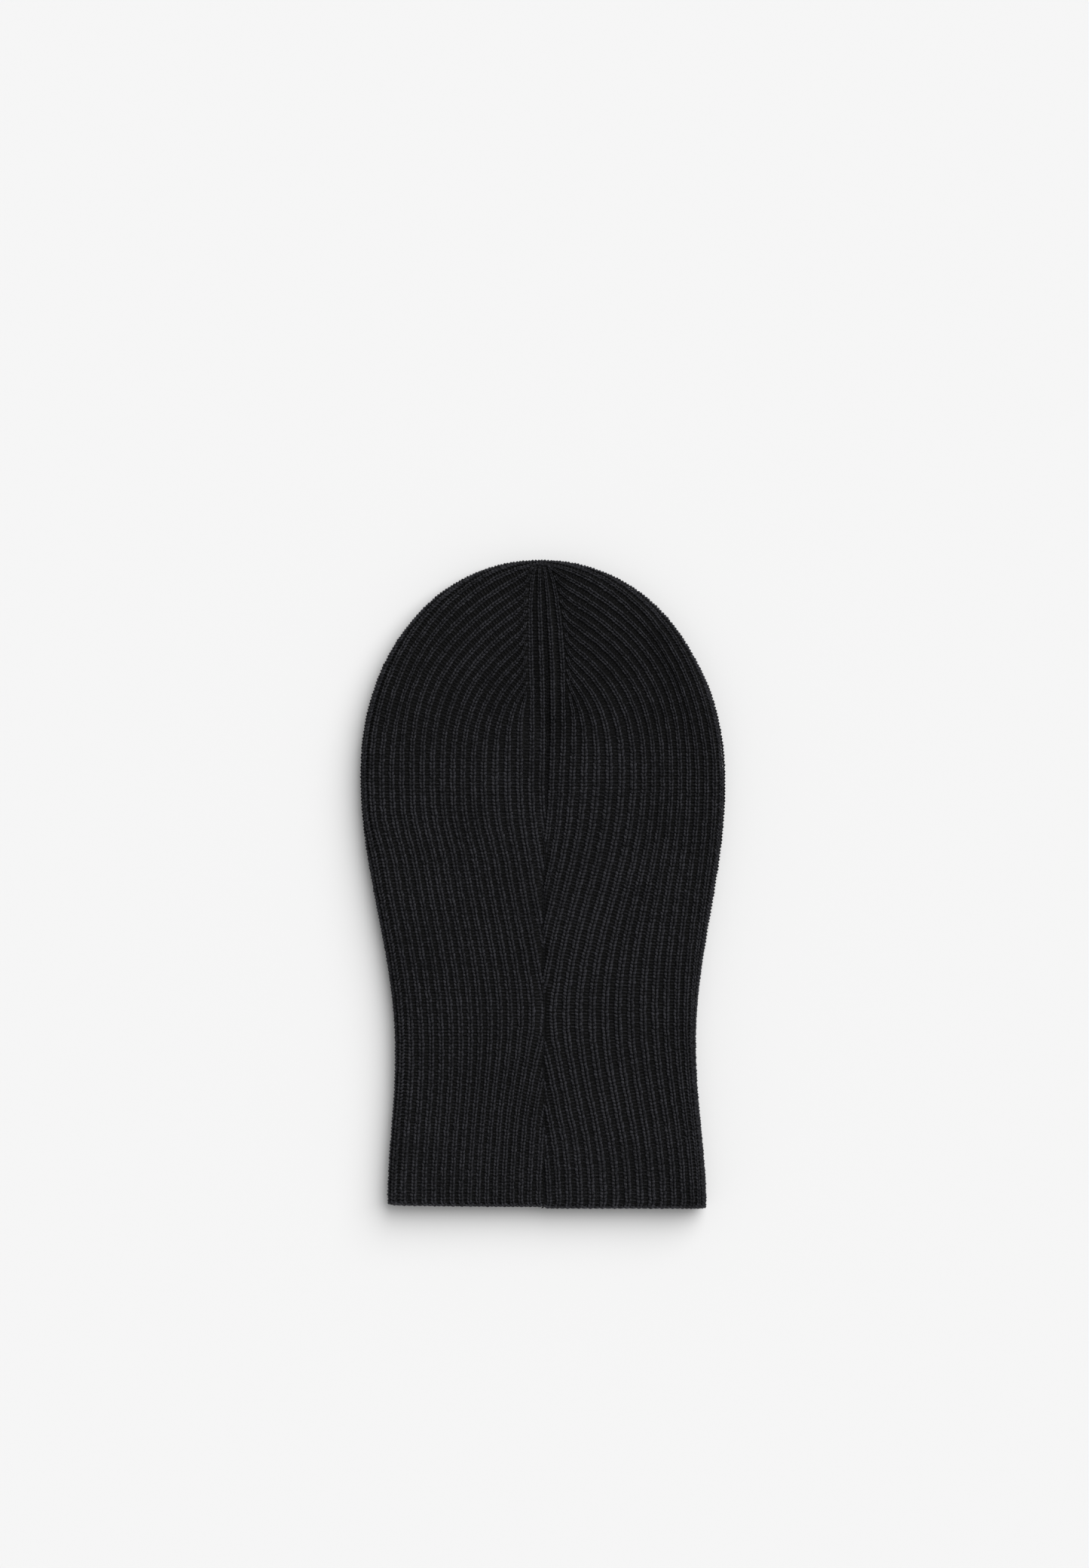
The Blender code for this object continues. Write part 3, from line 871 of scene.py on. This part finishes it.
def knot(name, up, below):
    """A fastened yarn end: a small overhand knot lying in the seam."""
    t = np.linspace(0, 2 * math.pi, 72, endpoint=False)
    path = np.column_stack([np.sin(t) + 2 * np.sin(2 * t), np.cos(t) - 2 * np.cos(2 * t), -np.sin(3 * t)])
    path *= np.array([0.36, 0.5, 0.42]) * MM
    place = lay(np.array([[seam_at(up), up]]), np.array([[0.0, 1.0]]), +1, below)[0][0]
    yarns = Yarns(name, seam_wool, "seam_yarn")
    yarns.add_mesh(*tube(path + place, 0.34 * MM))
    return yarns.close()[0]


def oval_points(shares, margin):
    """Points round the face opening at shares of its length, and their directions away from it."""
    middle = (BAND_LOW + BAND_HIGH) / 2
    half = (BAND_HIGH - BAND_LOW) / 2
    table = np.linspace(0, 2 * math.pi, 1441) - math.pi / 2
    ring = np.column_stack([half.x * np.cos(table), half.y * np.sin(table)])
    length = np.concatenate([[0], np.cumsum(np.linalg.norm(np.diff(ring, axis=0), axis=1))])
    angle = np.interp(shares % 1, length / length[-1], table)
    cos, sin = np.cos(angle), np.sin(angle)
    semi = [half.x - BAND_WIDTH + margin, half.y - BAND_WIDTH + margin]
    points = np.column_stack([middle.x + semi[0] * cos, middle.y + semi[1] * sin])
    away = np.column_stack([semi[1] * cos, semi[0] * sin])
    return points, away / np.linalg.norm(away, axis=1)[:, None]


def lay_band(shares, across_band, depth):
    """Lays points of the band: under it, round its fold at the opening, and over it."""
    turn = np.clip((across_band - BAND_FLAT) / BAND_FOLD, 0, math.pi)
    under = across_band < BAND_FLAT
    over = across_band > BAND_FLAT + math.pi * BAND_FOLD
    margin = BAND_FOLD * (1 - np.sin(turn))
    margin = np.where(under, BAND_WIDTH - across_band, margin)
    margin = np.where(over, BAND_WIDTH - (BAND_ROUND - across_band), margin)
    points, away = oval_points(shares, margin)
    sin, cos = np.sin(turn)[:, None], np.cos(turn)[:, None]
    normal = np.column_stack([-away * sin, -cos])
    along = np.column_stack([-away * cos, sin])
    place = np.column_stack([points, BAND_FOLD * (1 - cos[:, 0])]) - depth * normal
    return place, along, np.cross(along, normal), normal


def band_ground():
    """The folded layer that the band's loops stand on, near-black: painted shade seen between the loops."""
    ring, steps = 200, 30
    shares, v = np.meshgrid(np.arange(ring) / ring, np.linspace(0, BAND_ROUND, steps + 1), indexing="ij")
    outside, inside = (lay_band(shares.ravel(), v.ravel(), d)[0] for d in (1.15 * MM, 1.4 * MM))
    index = np.arange(ring * (steps + 1)).reshape(ring, steps + 1)
    after = np.roll(index, -1, axis=0)
    faces = np.stack([index[:, :-1], index[:, 1:], after[:, 1:], after[:, :-1]], axis=-1).reshape(-1, 4)
    quads = closed_shell(faces, len(outside))
    mesh = mesh_of("face_band_ground", np.concatenate([outside, inside]), quads, np.empty((0, 3), int))
    return new_piece("face_band_ground", mesh, gap_shade_wool)


def band_stitches():
    """The band's ribs and the bars between them, all the way round the opening."""
    legs = Yarns("face_band_ribs", black_wool, "black_rib_knit")
    # The bars between the band's ribs take the darker wool, painted shade
    bars = Yarns("face_band_valleys", shade_painted_wool, "black_rib_knit")
    v = np.arange(0.9 * MM, BAND_ROUND - 0.5 * MM, COURSE)
    for k in range(BAND_RIBS):
        for share, legged in (((k + 0.5) / BAND_RIBS, True), (k / BAND_RIBS, False)):
            laid = lay_band(np.full(len(v), share), v, 0.0)
            beside_it = lay_band(np.full(len(v), share + 0.5 / BAND_RIBS), v, 0.0)[0]
            room = 2 * np.linalg.norm(beside_it - laid[0], axis=1)
            if legged:
                knit_legs(legs, laid, np.column_stack([room, room]), always, 5, 0.6)
            elif k:
                purl_bars(bars, laid, room, always)
    return [*legs.close(), *bars.close()]


def band_linking():
    """The chain all round that joins the band to the panel, seen on both faces."""
    yarns = Yarns("band_linking", seam_wool, "seam_yarn")
    margin = BAND_WIDTH + 1.0 * MM
    count = int(math.pi * (BAND_HIGH.x * 2 + BAND_WIDTH) / (2.2 * MM))
    shares = np.arange(count) / count
    points, away = oval_points(shares, margin)
    along = np.column_stack([-away[:, 1], away[:, 0], np.zeros(count)])
    for facing, z in ((-1, 0.7 * MM), (1, 3.0 * MM)):
        normal = np.tile([0.0, 0.0, facing], (count, 1))
        laid = np.column_stack([points, np.full(count, z)]), along, np.cross(along, normal), normal
        knit_legs(yarns, laid, np.full((count, 2), 0.5 * RIB), always, 6, 0.7)
    return yarns.close()[0]


def band_join():
    """The chain between the band's two ends, under the chin."""
    yarns = Yarns("band_join", seam_wool, "seam_yarn")
    v = np.arange(1 * MM, BAND_ROUND, 1.9 * MM)
    laid = lay_band(np.zeros(len(v)), v, 0.25 * MM)
    knit_legs(yarns, laid, np.full((len(v), 2), CHAIN_ROOM), always, 6, 0.6)
    return yarns.close()[0]


def label():
    """A blank ribbon folded in two, its fold hanging a little lower than its sewn edge."""
    thick, gap, turns = 0.2 * MM, 0.16 * MM, 6
    middle_z = (LABEL_LOW.z + LABEL_HIGH.z) / 2
    long = LABEL_HIGH.x - LABEL_LOW.x
    u = np.linspace(0, 1, 13)
    upper = [(LABEL_LOW.x + long * k, middle_z + gap / 2 + thick / 2) for k in u]
    radius = (gap + thick) / 2
    fold = [
        (LABEL_HIGH.x + radius * math.sin(a), middle_z + radius * math.cos(a))
        for a in np.linspace(0, math.pi, turns)[1:-1]
    ]
    lower = [(x, 2 * middle_z - z) for x, z in reversed(upper)]
    path = np.array([*upper, *fold, *lower])
    along = np.gradient(path, axis=0)
    along /= np.linalg.norm(along, axis=1)[:, None]
    out = np.column_stack([-along[:, 1], along[:, 0]])
    ys = np.linspace(LABEL_LOW.y, LABEL_HIGH.y, 19)
    surfaces = []
    for offset in (thick / 2, -thick / 2):
        x, z = np.repeat(path + offset * out, len(ys), axis=0).T
        y = np.tile(ys, len(path))
        out_from_seam = (x - LABEL_LOW.x) / long
        droop = 1.1 * MM * out_from_seam**2 * (1 + 0.35 * np.sin(y / (7 * MM)))
        surfaces.append(np.column_stack([x, y, z - droop]))
    index = np.arange(len(path) * len(ys)).reshape(len(path), len(ys))
    faces = np.stack([index[:-1, :-1], index[1:, :-1], index[1:, 1:], index[:-1, 1:]], axis=-1).reshape(-1, 4)
    quads = closed_shell(faces, len(surfaces[0]))
    mesh = mesh_of("blank_label", np.concatenate(surfaces), quads, np.empty((0, 3), int))
    return new_piece("blank_label", mesh, ribbon)


def label_stitches():
    """The lockstitches near the label's sewn edge, on the side that shows."""
    yarns = Yarns("label_stitches", seam_wool, "seam_yarn")
    y = np.arange(LABEL_LOW.y + 1.5 * MM, LABEL_HIGH.y, 2.6 * MM)
    count = len(y)
    for facing, z in ((-1, LABEL_LOW.z), (1, LABEL_HIGH.z)):
        place = np.column_stack([np.full(count, LABEL_LOW.x + 1.2 * MM), y, np.full(count, z)])
        along, normal = np.tile([0.0, 1.0, 0.0], (count, 1)), np.tile([0.0, 0.0, facing], (count, 1))
        template = yarn_template([(x, y, -z) for x, y, z in THREAD_PATH], THREAD_RADII, 6)
        yarns.add(template, place, along, np.cross(along, normal), normal, np.ones((count, 3)))
    return yarns.close()[0]


ground = knit_ground()
stitches = knit_layer("back", +1, back_lines, 6) + knit_layer("front", -1, front_lines, 5)
seam = back_seam()
crown_knot = knot("crown_knot", SEAM_TOP_UP - 2 * MM, 1.2 * MM)
hem_knot = knot("hem_knot", 2.2 * MM, 1.2 * MM)
band = band_ground()
band_pieces = band_stitches()
linking = band_linking()
join = band_join()
blank_label = label()
label_thread = label_stitches()

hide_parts("knit_body")
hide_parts("centre_back_seam")
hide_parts("crown_seam_tack")
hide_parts("hem_seam_tack")
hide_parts("face_band")
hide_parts("face_band_linking")
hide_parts("face_band_join")
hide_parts("care_label")
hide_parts("care_label_stitching")

# ---------------------------------------------------------------- floor, light and camera


def studio():
    bpy.ops.mesh.primitive_plane_add(size=6)
    floor = bpy.context.active_object
    floor.name = "studio_floor"
    floor.location.z = -0.2 * MM
    paper = bpy.data.materials.new("floor_paper")
    paper.use_nodes = True
    shader = paper.node_tree.nodes["Principled BSDF"]
    shader.inputs["Base Color"].default_value = (0.818, 0.818, 0.818, 1)
    shader.inputs["Roughness"].default_value = 1.0
    shader.inputs["Specular IOR Level"].default_value = 0.0
    floor.data.materials.append(paper)
    world = bpy.data.worlds.new("studio")
    bpy.context.scene.world = world
    world.use_nodes = True
    world.node_tree.nodes["Background"].inputs["Color"].default_value = (1, 1, 1, 1)
    world.node_tree.nodes["Background"].inputs["Strength"].default_value = 0.36
    key = bpy.data.lights.new("key", "SUN")
    key.energy = 3.27
    key.angle = math.radians(62)
    lamp = bpy.data.objects.new("key", key)
    bpy.context.scene.collection.objects.link(lamp)
    lamp.rotation_euler = (math.radians(-30), math.radians(32), 0)
    bpy.context.scene.view_settings.view_transform = "Standard"


def camera():
    """Straight above, framed so that the piece sits below the middle of the picture."""
    data = bpy.data.cameras.new("camera")
    data.sensor_width = 36
    data.lens = 85
    eye = bpy.data.objects.new("camera", data)
    bpy.context.scene.collection.objects.link(eye)
    frame_height = 0.936
    distance = frame_height * data.lens / data.sensor_width
    eye.location = (1.3 * MM, 59.4 * MM, distance + THICKNESS)
    bpy.context.scene.camera = eye


studio()
camera()
